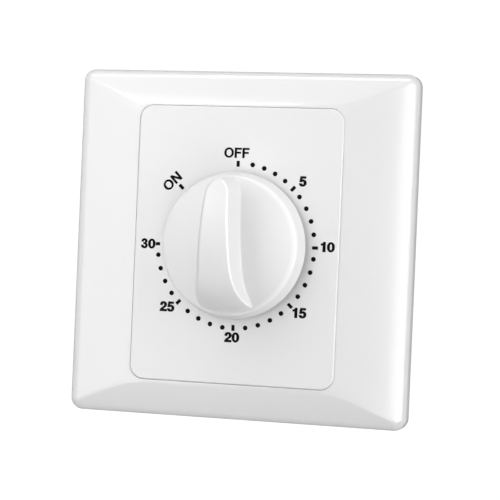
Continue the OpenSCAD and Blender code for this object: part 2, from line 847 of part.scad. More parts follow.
// Dished spring washer that presses on the great wheel
module friction_clutch() {
  color("slategray") rotate_extrude() polygon([
    [tail_r, clutch_rear],
    [clutch_hub_r, clutch_rear],
    [clutch_hub_r, clutch_rear + clutch_sheet],
    [clutch_r, clutch_front - clutch_sheet],
    [clutch_r, clutch_front],
    [clutch_r - clutch_sheet, clutch_front],
    [clutch_hub_r, clutch_rear + 2 * clutch_sheet],
    [tail_r, clutch_rear + 2 * clutch_sheet]
  ]);
}

// Disc whose notch takes the moving leaf's nose at OFF
module switch_cam() {
  color("ivory") difference() {
    union() {
      rod(cam_r, cam_rear, cam_front);
      rod(cam_hub_r, cam_rear, back_plate_rear - piece_gap);
    }
    translate([leaf_x, 0, 0]) rod(nose_r + notch_gap, cam_rear - cut, cam_front + cut);
    d_bar(tail_r, tail_r - tail_flat, cam_rear - cut, back_plate_rear);
  }
}

module cam_circlip() {
  inner_r = groove_r + push_fit;
  color("slategray") translate([0, 0, circlip_front - circlip_t]) linear_extrude(circlip_t)
    difference() {
      circle(r = circlip_r);
      circle(r = inner_r);
      translate([-inner_r, 0]) square([2 * inner_r, circlip_r + cut]);
    }
}

// Stamped wheel with lightening holes
module train_wheel(teeth, bore, phase, low, high) {
  inner = bore + wheel_hub;
  outer = pitch_r(teeth) - (pinion_addendum + tooth_root_gap) * gear_module - wheel_rim;
  ring_r = (inner + outer) / 2;
  hole_r = min((outer - inner) / 2, ring_r * sin(180 / wheel_holes) - wheel_spoke / 2);
  rotate(phase) difference() {
    translate([0, 0, low]) linear_extrude(high - low)
      polygon(gear_outline(teeth, wheel_addendum, pinion_addendum, 2));
    rod(bore, low - cut, high + cut);
    for (i = [0:wheel_holes - 1]) rotate(360 * (i + 0.5) / wheel_holes) translate([ring_r, 0, 0])
      rod(hole_r, low - cut, high + cut);
  }
}

// Arbor between the plates, with its pivots and a pinion cut on it
module pinion_arbor(phase, low, high) {
  arbor();
  rotate(phase) translate([0, 0, low]) linear_extrude(high - low)
    polygon(gear_outline(pinion_teeth, pinion_addendum, wheel_addendum, 4));
}

module arbor() {
  rod(arbor_r, back_plate_front + end_play, front_plate_rear - end_play);
  rod(pivot_r, back_plate_rear, web_rear);
}

module great_wheel() {
  color("goldenrod") train_wheel(great_teeth, tail_r + running, 0, great_rear, great_front);
}

module second_pinion() {
  color("silver") translate(second_at)
    pinion_arbor(second_phase, great_rear - pinion_over, great_front + pinion_over);
}

module second_wheel() {
  color("goldenrod") translate(second_at) train_wheel(second_teeth, arbor_r, 0, second_rear, second_front);
}

module third_pinion() {
  color("silver") translate(third_at)
    pinion_arbor(third_phase, second_rear - pinion_over, second_front + pinion_over);
}

module third_wheel() {
  color("goldenrod") translate(third_at) train_wheel(third_teeth, arbor_r, 0, third_rear, third_front);
}

module escape_pinion() {
  color("silver") translate(escape_at)
    pinion_arbor(escape_phase, third_rear - pinion_over, third_front + pinion_over);
}

// Wheel with pointed, leaning teeth
module escape_wheel() {
  step = 360 / escape_teeth;
  root = escape_r - escape_tooth_h;
  outline = [
    for (i = [0:escape_teeth - 1]) each [
      polar(escape_r, i * step),
      polar(escape_r, (i + escape_tip_share) * step),
      polar(root, (i + escape_root_shares[0]) * step),
      polar(root, (i + escape_root_shares[1]) * step)
    ]
  ];
  color("goldenrod") translate(escape_at) difference() {
    translate([0, 0, second_rear]) linear_extrude(wheel_t) polygon(outline);
    rod(arbor_r, second_rear - cut, second_front + cut);
  }
}

module pallet_arbor() {
  color("silver") translate(pallet_at) arbor();
}

// Anchor-shaped lever: a hub and two arms that end over the pins
module pallet_lever() {
  color("goldenrod") difference() {
    union() {
      translate(pallet_at) rod(pallet_hub_r, pallet_rear, pallet_front);
      for (place = pallet_pin_places) {
        run = place - pallet_at;
        translate(place) rod(pallet_arm_r, pallet_rear, pallet_front);
        translate([pallet_at.x, pallet_at.y, pallet_rear]) rotate(atan2(run.y, run.x))
          translate([0, -pallet_arm_r, 0]) cube([norm(run), 2 * pallet_arm_r, pallet_t]);
      }
    }
    translate(pallet_at) rod(arbor_r, pallet_rear - cut, pallet_front + cut);
  }
}

module pallet_pins() {
  color("silver") rods(pallet_pin_places, pallet_pin_r, second_rear - pallet_pin_over, pallet_rear);
}

// Bar with a weight at each end, which sets the beat
module balance_bar() {
  color("goldenrod") translate([pallet_at.x, pallet_at.y, balance_rear]) linear_extrude(balance_t)
    difference() {
      union() {
        square([2 * balance_l, 2 * balance_half], center = true);
        circle(r = balance_hub_r);
        for (sx = [-1, 1]) translate([sx * balance_l, 0]) circle(r = balance_weight_r);
      }
      circle(r = arbor_r);
    }
}

// Brass block with a wire bore and a screw hole that meets it
module terminal(side) {
  color("gold") translate([terminal_x, side * terminal_y, 0]) difference() {
    translate([-terminal_w / 2, -terminal_d / 2, case_floor])
      cube([terminal_w, terminal_d, terminal_h]);
    translate([0, 0, wire_z]) rotate([90, 0, 0])
      cylinder(r = wire_r, h = terminal_d + 2 * cut, center = true);
    rod(terminal_screw_r, case_floor - cut, wire_z);
  }
}

module line_terminal() {
  terminal(-1);
}

module load_terminal() {
  terminal(1);
}

module terminal_screws() {
  color("silver")
    for (side = [-1, 1]) translate([terminal_x, side * terminal_y, 0])
      screw(terminal_screw_r, terminal_head_r, case_floor - terminal_head_h, terminal_head_h,
        wire_z - wire_r - piece_gap, -1);
}

// Foot of a contact leaf on its terminal, from the leaf's line outwards
module leaf_foot(side, x) {
  translate([x - foot_w, side > 0 ? leaf_root_y - leaf_t : -leaf_root_y - foot_reach, foot_rear])
    cube([foot_w, foot_reach + leaf_t, leaf_t]);
}

module fixed_contact() {
  low_y = rivet_y - rivet_r - leaf_end;
  color("darkgoldenrod") {
    translate([fixed_x - leaf_t, low_y, leaf_rear])
      cube([leaf_t, leaf_root_y - low_y, leaf_front - leaf_rear]);
    leaf_foot(1, fixed_x);
    translate([fixed_x - leaf_t, rivet_y, foot_front])
      rotate([0, 90, 0]) cylinder(r = rivet_r, h = leaf_t + rivet_h);
  }
}

// Leaf with a follower nose towards the cam and a contact rivet away from it
module moving_contact() {
  color("darkgoldenrod") {
    translate([0, 0, leaf_rear]) linear_extrude(leaf_front - leaf_rear) {
      translate([leaf_x - leaf_t, -leaf_root_y]) square([leaf_t, leaf_root_y + leaf_tip_y]);
      translate([leaf_x, 0]) difference() {
        circle(r = nose_r);
        circle(r = nose_r - leaf_t);
        translate([-2 * nose_r - leaf_t / 2, -nose_r]) square([2 * nose_r, 2 * nose_r]);
      }
    }
    leaf_foot(-1, leaf_x);
    translate([leaf_x - leaf_t - rivet_h, rivet_y, foot_front])
      rotate([0, 90, 0]) cylinder(r = rivet_r, h = leaf_t + rivet_h);
  }
}

facing() outer_frame();
facing() center_panel();
facing() base_plate();
facing() rear_case();
facing() case_screws();
facing() movement_screws();
facing() front_plate();
facing() back_plate();
facing() plate_pillars();
facing() pillar_screws();
facing() shaft_bush();
facing() spring_post();
facing() mainspring();
facing() knob();
facing() knob_spring();
facing() control_shaft();
facing() stop_washer();
facing() friction_clutch();
facing() switch_cam();
facing() cam_circlip();
facing() great_wheel();
facing() second_pinion();
facing() second_wheel();
facing() third_pinion();
facing() third_wheel();
facing() escape_pinion();
facing() escape_wheel();
facing() pallet_arbor();
facing() pallet_lever();
facing() pallet_pins();
facing() balance_bar();
facing() line_terminal();
facing() load_terminal();
facing() terminal_screws();
facing() fixed_contact();
facing() moving_contact();
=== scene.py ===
import math

import bmesh
import bpy
from mathutils import Matrix, Vector


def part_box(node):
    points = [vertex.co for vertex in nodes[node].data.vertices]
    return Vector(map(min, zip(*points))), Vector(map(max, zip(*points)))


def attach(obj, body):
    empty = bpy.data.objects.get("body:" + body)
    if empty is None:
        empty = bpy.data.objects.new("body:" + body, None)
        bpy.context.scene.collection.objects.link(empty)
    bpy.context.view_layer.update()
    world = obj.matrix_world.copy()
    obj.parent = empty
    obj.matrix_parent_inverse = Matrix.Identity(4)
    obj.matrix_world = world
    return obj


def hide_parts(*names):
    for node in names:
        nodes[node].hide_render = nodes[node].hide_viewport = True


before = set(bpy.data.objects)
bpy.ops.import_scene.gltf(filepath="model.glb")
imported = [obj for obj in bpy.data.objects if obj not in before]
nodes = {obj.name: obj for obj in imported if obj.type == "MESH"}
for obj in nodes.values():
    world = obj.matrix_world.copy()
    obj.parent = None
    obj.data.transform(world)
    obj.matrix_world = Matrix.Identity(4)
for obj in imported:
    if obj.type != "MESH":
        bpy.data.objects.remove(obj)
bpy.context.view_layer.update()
scene = bpy.context.scene
mm = 0.001
mergeWithin = 0.0005  # mm
standUp = Matrix.Rotation(math.radians(90), 4, "X") @ Matrix.Scale(mm, 4)  # front view in mm to the wall
print("frame loaded,", len(nodes), "nodes")


class Wire:  # a socket that can be used in expressions
    def __init__(self, tree, socket=None):
        self.tree = tree
        self.socket = socket

    def put(self, target, value):
        if isinstance(value, Wire):
            self.tree.links.new(value.socket, target)
        else:
            target.default_value = value

    def add(self, kind, settings=None, inputs=None, out=0):
        node = self.tree.nodes.new("ShaderNode" + kind)
        for name, value in (settings or {}).items():
            setattr(node, name, value)
        for name, value in (inputs or {}).items():
            self.put(node.inputs[name], value)
        return Wire(self.tree, node.outputs[out])

    def maths(self, operation, first, second):
        return self.add("Math", {"operation": operation}, {0: first, 1: second})

    def __add__(self, other):
        return self.maths("ADD", self, other)

    def __sub__(self, other):
        return self.maths("SUBTRACT", self, other)

    def __rsub__(self, other):
        return self.maths("SUBTRACT", other, self)

    def __mul__(self, other):
        return self.maths("MULTIPLY", self, other)

    __radd__ = __add__


noiseMiddle = 0.5
mixMask, mixFirst, mixSecond, mixResult = 0, 6, 7, 2  # a Mix node's colour sockets, which share their names


def newMaterial(name):
    material = bpy.data.materials.new(name)
    material.use_nodes = True
    shader = material.node_tree.nodes["Principled BSDF"]
    return material, Wire(material.node_tree), shader


def noiseOn(wire, size, detail, stretch=(1, 1, 1)):  # size of a patch in metres
    place = wire.add("TexCoord", out="Object")
    placed = wire.add("Mapping", inputs={"Vector": place, "Scale": stretch})
    return wire.add("TexNoise", inputs={"Vector": placed, "Scale": 1 / size, "Detail": detail})


def painted(wire, name):  # how strongly a piece's vertices carry a mark
    return wire.add("Attribute", {"attribute_name": name}, out="Fac")


def mixed(wire, mask, first, second):  # between two colours, each a wire or three numbers
    first, second = (end if isinstance(end, Wire) else (*end, 1) for end in (first, second))
    inputs = {mixMask: mask, mixFirst: first, mixSecond: second}
    return wire.add("Mix", {"data_type": "RGBA"}, inputs, mixResult)


def bumped(wire, shader, height, depth, strength):
    bump = wire.add("Bump", inputs={"Height": height, "Distance": depth, "Strength": strength})
    wire.put(shader.inputs["Normal"], bump)


# Moulded plastic: slow tone drift from the melt, skin of the mould, patches that are handled more; where a
# look asks for them, a painted highlight and a painted shade along edges
def mouldedPlastic(name, look):
    material, wire, shader = newMaterial(name)
    flow = noiseOn(wire, look["flow"], look["flowDetail"], look["flowWay"])
    skin = noiseOn(wire, look["skin"], look["skinDetail"])
    touch = noiseOn(wire, look["touch"], look["touchDetail"])
    tone = mixed(wire, flow, look["dark"], look["light"])
    if "paintedHighlight" in look:  # painted highlight: paler along an edge where a lamp's reflection would fall
        tone = mixed(wire, painted(wire, "edgeHighlight"), tone, look["paintedHighlight"])
    if "paintedShade" in look:  # painted shade: darker along an edge where shade falls
        tone = mixed(wire, painted(wire, "edgeShade"), tone, look["paintedShade"])
    wire.put(shader.inputs["Base Color"], tone)
    wire.put(shader.inputs["Roughness"], look["rough"] + (touch - noiseMiddle) * look["roughSpread"])
    bumped(wire, shader, skin, look["skinDepth"], look["skinStrength"])
    shader.inputs["IOR"].default_value = look["ior"]
    shader.inputs["Specular IOR Level"].default_value = look["gloss"]
    shader.inputs["Coat Weight"].default_value = look["coat"]
    shader.inputs["Coat Roughness"].default_value = look["coatRough"]
    return material


# Metal: tool marks drawn out along one way, small stains and a fine grain
def workedMetal(name, look):
    material, wire, shader = newMaterial(name)
    lines = noiseOn(wire, look["line"], look["lineDetail"], look["lineWay"])
    stain = noiseOn(wire, look["stain"], look["stainDetail"])
    tone = lines * look["lineTone"] + stain * (1 - look["lineTone"])
    wire.put(shader.inputs["Base Color"], mixed(wire, tone, look["dark"], look["light"]))
    wire.put(shader.inputs["Roughness"], look["rough"] + (stain - noiseMiddle) * look["roughSpread"])
    bumped(wire, shader, lines, look["lineDepth"], look["lineStrength"])
    shader.inputs["Metallic"].default_value = 1
    return material


# Pad-printed ink: not quite even where the pad lifted off
def padInk(name, look):
    material, wire, shader = newMaterial(name)
    lift = noiseOn(wire, look["lift"], look["liftDetail"])
    wire.put(shader.inputs["Base Color"], mixed(wire, lift, look["dark"], look["light"]))
    wire.put(shader.inputs["Roughness"], look["rough"] + lift * look["roughSpread"])
    bumped(wire, shader, lift, look["liftDepth"], look["liftStrength"])
    shader.inputs["Specular IOR Level"].default_value = look["gloss"]
    return material


plasticLook = {  # gloss white of the parts in view
    "dark": (0.725, 0.725, 0.725), "light": (0.755, 0.755, 0.755),
    "flow": 0.03, "flowDetail": 3, "flowWay": (1, 1, 0.6),
    "touch": 0.012, "touchDetail": 4, "rough": 0.16, "roughSpread": 0.05,
    "ior": 1.52, "gloss": 0.28, "coat": 0.28, "coatRough": 0.06,
    "skin": 0.0009, "skinDetail": 2, "skinDepth": 0.000004, "skinStrength": 0.25,
}
panelLook = {**plasticLook, "rough": 0.42, "gloss": 0.2, "coat": 0, "skin": 0.0005, "skinStrength": 0.4}
knobLook = {
    **plasticLook, "rough": 0.3, "gloss": 0.08, "coat": 0, "flowWay": (1, 0.5, 1),
    # the darker colour below is a painted shade along the grip's left edge
    # the paler colour below is a painted highlight along the grip's right edge and the rim
    "paintedHighlight": (0.95, 0.95, 0.95), "paintedShade": (0.54, 0.54, 0.54),
}
baseLook = {
    **plasticLook, "dark": (0.74, 0.74, 0.73), "light": (0.79, 0.79, 0.78), "rough": 0.48, "coat": 0,
    "skin": 0.0006, "skinDepth": 0.00001, "skinStrength": 0.5,
}
caseLook = {
    **plasticLook, "dark": (0.60, 0.60, 0.585), "light": (0.67, 0.67, 0.65), "rough": 0.55, "coat": 0,
    "roughSpread": 0.14, "flowWay": (1, 0.3, 1), "skin": 0.0004, "skinDepth": 0.00002, "skinStrength": 0.6,
}
camLook = {
    **plasticLook, "dark": (0.72, 0.70, 0.62), "light": (0.80, 0.78, 0.70), "rough": 0.5, "flow": 0.006,
    "coat": 0,
}
zincLook = {
    "dark": (0.46, 0.48, 0.50), "light": (0.66, 0.68, 0.70), "rough": 0.34, "roughSpread": 0.2,
    "line": 0.0008, "lineDetail": 3, "lineWay": (1, 1, 1), "lineTone": 0.4, "lineDepth": 0.000006,
    "lineStrength": 0.3, "stain": 0.003, "stainDetail": 4,
}
plateLook = {**zincLook, "lineWay": (8, 1, 0.5), "dark": (0.40, 0.41, 0.43), "light": (0.60, 0.61, 0.63)}
turnedLook = {
    **zincLook, "lineWay": (0.4, 10, 0.4), "lineTone": 0.7, "dark": (0.42, 0.42, 0.42),
    "light": (0.68, 0.68, 0.68), "rough": 0.24,
}
springLook = {**zincLook, "dark": (0.16, 0.18, 0.22), "light": (0.30, 0.33, 0.38), "rough": 0.3}
wheelLook = {
    **zincLook, "lineWay": (6, 1, 1), "dark": (0.56, 0.37, 0.12), "light": (0.78, 0.57, 0.24), "rough": 0.28,
}
terminalLook = {**wheelLook, "lineWay": (1, 1, 9), "dark": (0.52, 0.36, 0.13), "light": (0.72, 0.54, 0.25)}
contactLook = {**wheelLook, "dark": (0.46, 0.24, 0.12), "light": (0.66, 0.39, 0.22), "rough": 0.32}
inkLook = {
    "dark": (0.001, 0.001, 0.001), "light": (0.004, 0.004, 0.004), "rough": 0.6, "roughSpread": 0.15,
    "gloss": 0.05, "lift": 0.0007, "liftDetail": 3, "liftDepth": 0.000004, "liftStrength": 0.4,
}
whiteFrame = mouldedPlastic("whiteFrame", plasticLook)
whitePanel = mouldedPlastic("whitePanel", panelLook)
whiteKnob = mouldedPlastic("whiteKnob", knobLook)
whiteBase = mouldedPlastic("whiteBase", baseLook)
greyCase = mouldedPlastic("greyCase", caseLook)
camNylon = mouldedPlastic("camNylon", camLook)
zincSteel = workedMetal("zincSteel", zincLook)
plateSteel = workedMetal("plateSteel", plateLook)
turnedSteel = workedMetal("turnedSteel", turnedLook)
springSteel = workedMetal("springSteel", springLook)
wheelBrass = workedMetal("wheelBrass", wheelLook)
terminalBrass = workedMetal("terminalBrass", terminalLook)
contactBronze = workedMetal("contactBronze", contactLook)
dialInk = padInk("dialInk", inkLook)
print("materials made,", len(bpy.data.materials))

nodeFinish = {
    whiteBase: ["base_plate"],
    greyCase: ["rear_case"],
    camNylon: ["switch_cam"],
    zincSteel: ["case_screws", "movement_screws", "pillar_screws", "terminal_screws"],
    plateSteel: ["front_plate", "back_plate"],
    turnedSteel: [
        "plate_pillars", "spring_post", "control_shaft", "stop_washer", "second_pinion", "third_pinion",
        "escape_pinion", "pallet_arbor", "pallet_pins",
    ],
    springSteel: ["mainspring", "knob_spring", "friction_clutch", "cam_circlip"],
    wheelBrass: [
        "shaft_bush", "great_wheel", "second_wheel", "third_wheel", "escape_wheel", "pallet_lever",
        "balance_bar",
    ],
    terminalBrass: ["line_terminal", "load_terminal"],
    contactBronze: ["fixed_contact", "moving_contact"],
}
for finish, names in nodeFinish.items():
    for name in names:
        nodes[name].data.materials.clear()
        nodes[name].data.materials.append(finish)
print("frame nodes finished")


def ready(name, bm, finish, body, stands=()):  # stands the drawn piece up, hands it to its body
    bmesh.ops.transform(bm, matrix=standUp, verts=bm.verts)
    bmesh.ops.recalc_face_normals(bm, faces=bm.faces)
    for face in bm.faces:
        face.smooth = True
    mesh = bpy.data.meshes.new(name)
    bm.to_mesh(mesh)
    bm.free()
    mesh.materials.append(finish)
    made = bpy.data.objects.new(name, mesh)
    scene.collection.objects.link(made)
    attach(made, body)
    if stands:
        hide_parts(*stands)
    print(name, "made,", len(mesh.polygons), "faces")
    return made


def sharpen(made, above):  # keeps edges crisp that turn by more degrees than this
    made.data.set_sharp_from_angle(angle=math.radians(above))


faceWeight = 100  # 50 is neutral, more favours wide faces


def evenNormals(made):  # keeps the wide faces flat beside their rounded edges
    weighted = made.modifiers.new("evenNormals", "WEIGHTED_NORMAL")
    weighted.weight = faceWeight
    weighted.keep_sharp = True


def ringEdges(bm, ring):
    return [bm.edges.get((ring[i - 1], ring[i])) for i in range(len(ring))]


def loftRings(bm, rings):  # extrudes a closed ring of edges from one list of places to the next
    ring = bmesh.ops.create_circle(bm, cap_ends=False, radius=1, segments=len(rings[0]))["verts"]
    lofted = [ring]
    for vert, place in zip(ring, rings[0]):
        vert.co = place
    for places in rings[1:]:
        made = bmesh.ops.extrude_edge_only(bm, edges=ringEdges(bm, ring))["geom"]
        fresh = {v for v in made if isinstance(v, bmesh.types.BMVert)}
        ring = [next(e.other_vert(v) for e in v.link_edges if e.other_vert(v) in fresh) for v in ring]
        lofted.append(ring)
        for vert, place in zip(ring, places):
            vert.co = place
    return lofted


def joinEnds(bm, lofted):
    bmesh.ops.bridge_loops(bm, edges=ringEdges(bm, lofted[-1]) + ringEdges(bm, lofted[0]))


cornerSteps = 12
# stations round a rectangle: quarter, turn in it
stations = [(q, 90 * i / cornerSteps) for q in range(4) for i in range(cornerSteps + 1)]


def stationTurn(station):
    return math.radians(90 * station[0] + station[1])


def roundPlace(station, halfX, halfY, corner, level):  # a place on a rounded rectangle
    turn = stationTurn(station)
    sideX = 1 if station[0] in (0, 3) else -1
    sideY = 1 if station[0] < 2 else -1
    x = sideX * (halfX - corner) + corner * math.cos(turn)
    y = sideY * (halfY - corner) + corner * math.sin(turn)
    return x, y, level


def roundRing(halfX, halfY, corner, level):
    return [roundPlace(station, halfX, halfY, corner, level) for station in stations]


# Dial panel: a shallow tray, face to the room, with a hole for the shaft
panelLow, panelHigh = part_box("center_panel")
dialPanel = {
    "halfX": panelHigh.x / mm, "halfY": panelHigh.z / mm, "corner": 3.5, "front": -panelLow.y / mm,
    "edgeRound": 0.4, "edgeSteps": 5, "thick": 2, "side": 1.4, "rear": 3, "hole": 4.5, "slide": 0.05,
    "sharpAbove": 50,
}


def makeDialPanel(s):
    innerX, innerY = s["halfX"] - s["side"], s["halfY"] - s["side"]
    innerCorner = s["corner"] - s["side"]
    inside = s["front"] - s["thick"]
    edge = s["edgeRound"]
    rings = [roundRing(s["halfX"], s["halfY"], s["corner"], s["rear"])]
    for i in range(s["edgeSteps"] + 1):  # rounded front edge
        lean = math.radians(90 * i / s["edgeSteps"])
        inset = edge * (1 - math.cos(lean))
        level = s["front"] - edge * (1 - math.sin(lean))
        rings.append(roundRing(s["halfX"] - inset, s["halfY"] - inset, s["corner"] - inset, level))
    turns = [stationTurn(station) for station in stations]
    hole = [Vector((math.cos(turn), math.sin(turn))) * s["hole"] for turn in turns]
    rings.append([(p.x, p.y, s["front"]) for p in hole])
    rings.append([(p.x, p.y, inside) for p in hole])
    rings.append(roundRing(innerX, innerY, innerCorner, inside))
    rings.append(roundRing(innerX, innerY, innerCorner, s["rear"]))
    bm = bmesh.new()
    joinEnds(bm, loftRings(bm, rings))
    bmesh.ops.remove_doubles(bm, verts=bm.verts, dist=mergeWithin)
    bmesh.ops.translate(bm, vec=(s["slide"], 0, 0), verts=bm.verts)  # not quite in the middle of its window
    made = ready("dialPanel", bm, whitePanel, "housing", ["center_panel"])
    sharpen(made, s["sharpAbove"])
    evenNormals(made)


makeDialPanel(dialPanel)

# Cover frame: side wall, rounded edge, crowned facets up to the window, hollow behind
frameLow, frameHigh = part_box("outer_frame")
coverFrame = {
    "half": frameHigh.x / mm, "corner": 3, "rear": -frameHigh.y / mm, "rearRound": 0.3, "sideTop": 3.45,
    "edgeRound": 3.5, "edgeSteps": 12, "leanAtSides": 77, "leanAtEnds": 61, "crown": 0.325, "facetSteps": 12,
    "mitreRound": 0.9, "mitreLate": 16, "ledge": 0.8, "lip": -frameLow.y / mm, "lipRound": 0.15,
    "lipSteps": 3, "gap": 0.08, "wall": 2, "collar": 1.5, "collarRear": 3, "hollow": 4.3, "sharpAbove": 50,
}


def frameReach(level, lean, ledge, s):  # how far out the form goes at a level: rounded edge, then facet
    turn = math.radians(lean)
    tangent = s["sideTop"] + s["edgeRound"] * math.sin(turn)
    if level <= tangent:
        return s["half"] - s["edgeRound"] + math.sqrt(s["edgeRound"] ** 2 - (level - s["sideTop"]) ** 2)
    foot = s["half"] - s["edgeRound"] * (1 - math.cos(turn))
    fall = (s["lip"] - level) / (s["lip"] - tangent)
    straight = 1 - s["crown"]
    out = (math.sqrt(straight ** 2 + 4 * s["crown"] * fall) - straight) / (2 * s["crown"])
    return ledge + (foot - ledge) * out


def makeCoverFrame(s):
    half, rear = s["half"], s["rear"]
    backHalf, backCorner = half - s["rearRound"], s["corner"] - s["rearRound"]
    innerHalf, innerCorner = half - s["wall"], s["corner"] / 2
    windowX, windowY = dialPanel["halfX"] + s["gap"], dialPanel["halfY"] + s["gap"]
    windowCorner = dialPanel["corner"] + s["gap"]
    ledgeX, ledgeY, ledgeCorner = windowX + s["ledge"], windowY + s["ledge"], windowCorner + s["ledge"]
    collarX, collarY, collarCorner = windowX + s["collar"], windowY + s["collar"], windowCorner + s["collar"]
    rings = [
        roundRing(innerHalf, innerHalf, innerCorner, rear),
        roundRing(backHalf, backHalf, backCorner, rear),
        roundRing(half, half, s["corner"], rear + s["rearRound"]),
    ]
    turns = [math.radians(s["leanAtSides"] * i / s["edgeSteps"]) for i in range(s["edgeSteps"] + 1)]
    levels = [s["sideTop"] + s["edgeRound"] * math.sin(turn) for turn in turns]
    edgeTop = levels[-1]
    levels += [edgeTop + (s["lip"] - edgeTop) * i / s["facetSteps"] for i in range(1, s["facetSteps"] + 1)]
    for level in levels:
        reachX = frameReach(level, s["leanAtSides"], ledgeX, s)
        reachY = frameReach(level, s["leanAtEnds"], ledgeY, s)
        corner = max(s["corner"] - (half - reachX), s["mitreRound"])
        if level > edgeTop:  # the mitre opens only close to the window
            corner += (ledgeCorner - corner) * ((level - edgeTop) / (s["lip"] - edgeTop)) ** s["mitreLate"]
        rings.append(roundRing(reachX, reachY, corner, level))
    for i in range(s["lipSteps"] + 1):  # rounded lip
        lean = math.radians(90 * i / s["lipSteps"])
        out = s["lipRound"] * (1 - math.sin(lean))
        level = s["lip"] - s["lipRound"] * (1 - math.cos(lean))
        rings.append(roundRing(windowX + out, windowY + out, windowCorner + out, level))
    rings += [
        roundRing(windowX, windowY, windowCorner, s["collarRear"]),
        roundRing(collarX, collarY, collarCorner, s["collarRear"]),
        roundRing(collarX, collarY, collarCorner, s["lip"] - s["wall"] - s["rearRound"]),
        roundRing(innerHalf, innerHalf, innerCorner, s["hollow"]),
    ]
    bm = bmesh.new()
    joinEnds(bm, loftRings(bm, rings))
    made = ready("coverFrame", bm, whiteFrame, "housing", ["outer_frame"])
    sharpen(made, s["sharpAbove"])
    evenNormals(made)


makeCoverFrame(coverFrame)

# Timer knob: a domed disc with a wedge-shaped grip, hollow underneath
knobLow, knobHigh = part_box("knob")
timerKnob = {
    "foot": -knobHigh.y / mm, "radius": knobHigh.x / mm, "draft": 0.65, "wall": 2, "recess": 2,
    "rimRound": 1.3, "rimGap": 0.05, "rimSteps": 8, "domeTop": 8.1, "domeRadius": 35.5, "domeSteps": 10,
    "gripTop": (knobHigh.y - knobLow.y) / mm, "topSteps": 8, "spineEnd": 0.8,
    "crownRadius": 31, "crownAt": 3.4, "crownCap": 0.99, "fallFrom": 10, "fallPower": 4,
    "noseHalf": 2.95, "noseLong": 4.4, "noseSet": 0.8, "noseLean": 15, "noseDraft": 0.7, "noseTight": 0.4,
    "noseSteps": 20, "tailHalf": 4.75, "tailInset": 0.15, "tailSteps": 24,
    "flare": 1.9, "flareFrom": -5, "flarePower": 2,
    "sideSteps": 24, "fanReach": 60, "fanStep": 3, "rowPlaces": 2,
    "topRound": 0.45, "footRound": 0.35, "roundShare": 0.45, "roundSteps": 5,
    # strengths of the painted highlight on the grip's right edge and on the rim
    # strengths of the painted shade along the grip's left edge, and where it fades out towards the tail
    "gripHighlight": 1, "rimHighlight": 0.45, "shadeStrength": (0.5, 0.8, 1, 1, 1, 1), "shadeEnd": -11.5, "shadeFade": 6,
    "sharpAbove": 60,
}


def share(value):  # held between 0 and 1
    return min(max(value, 0), 1)


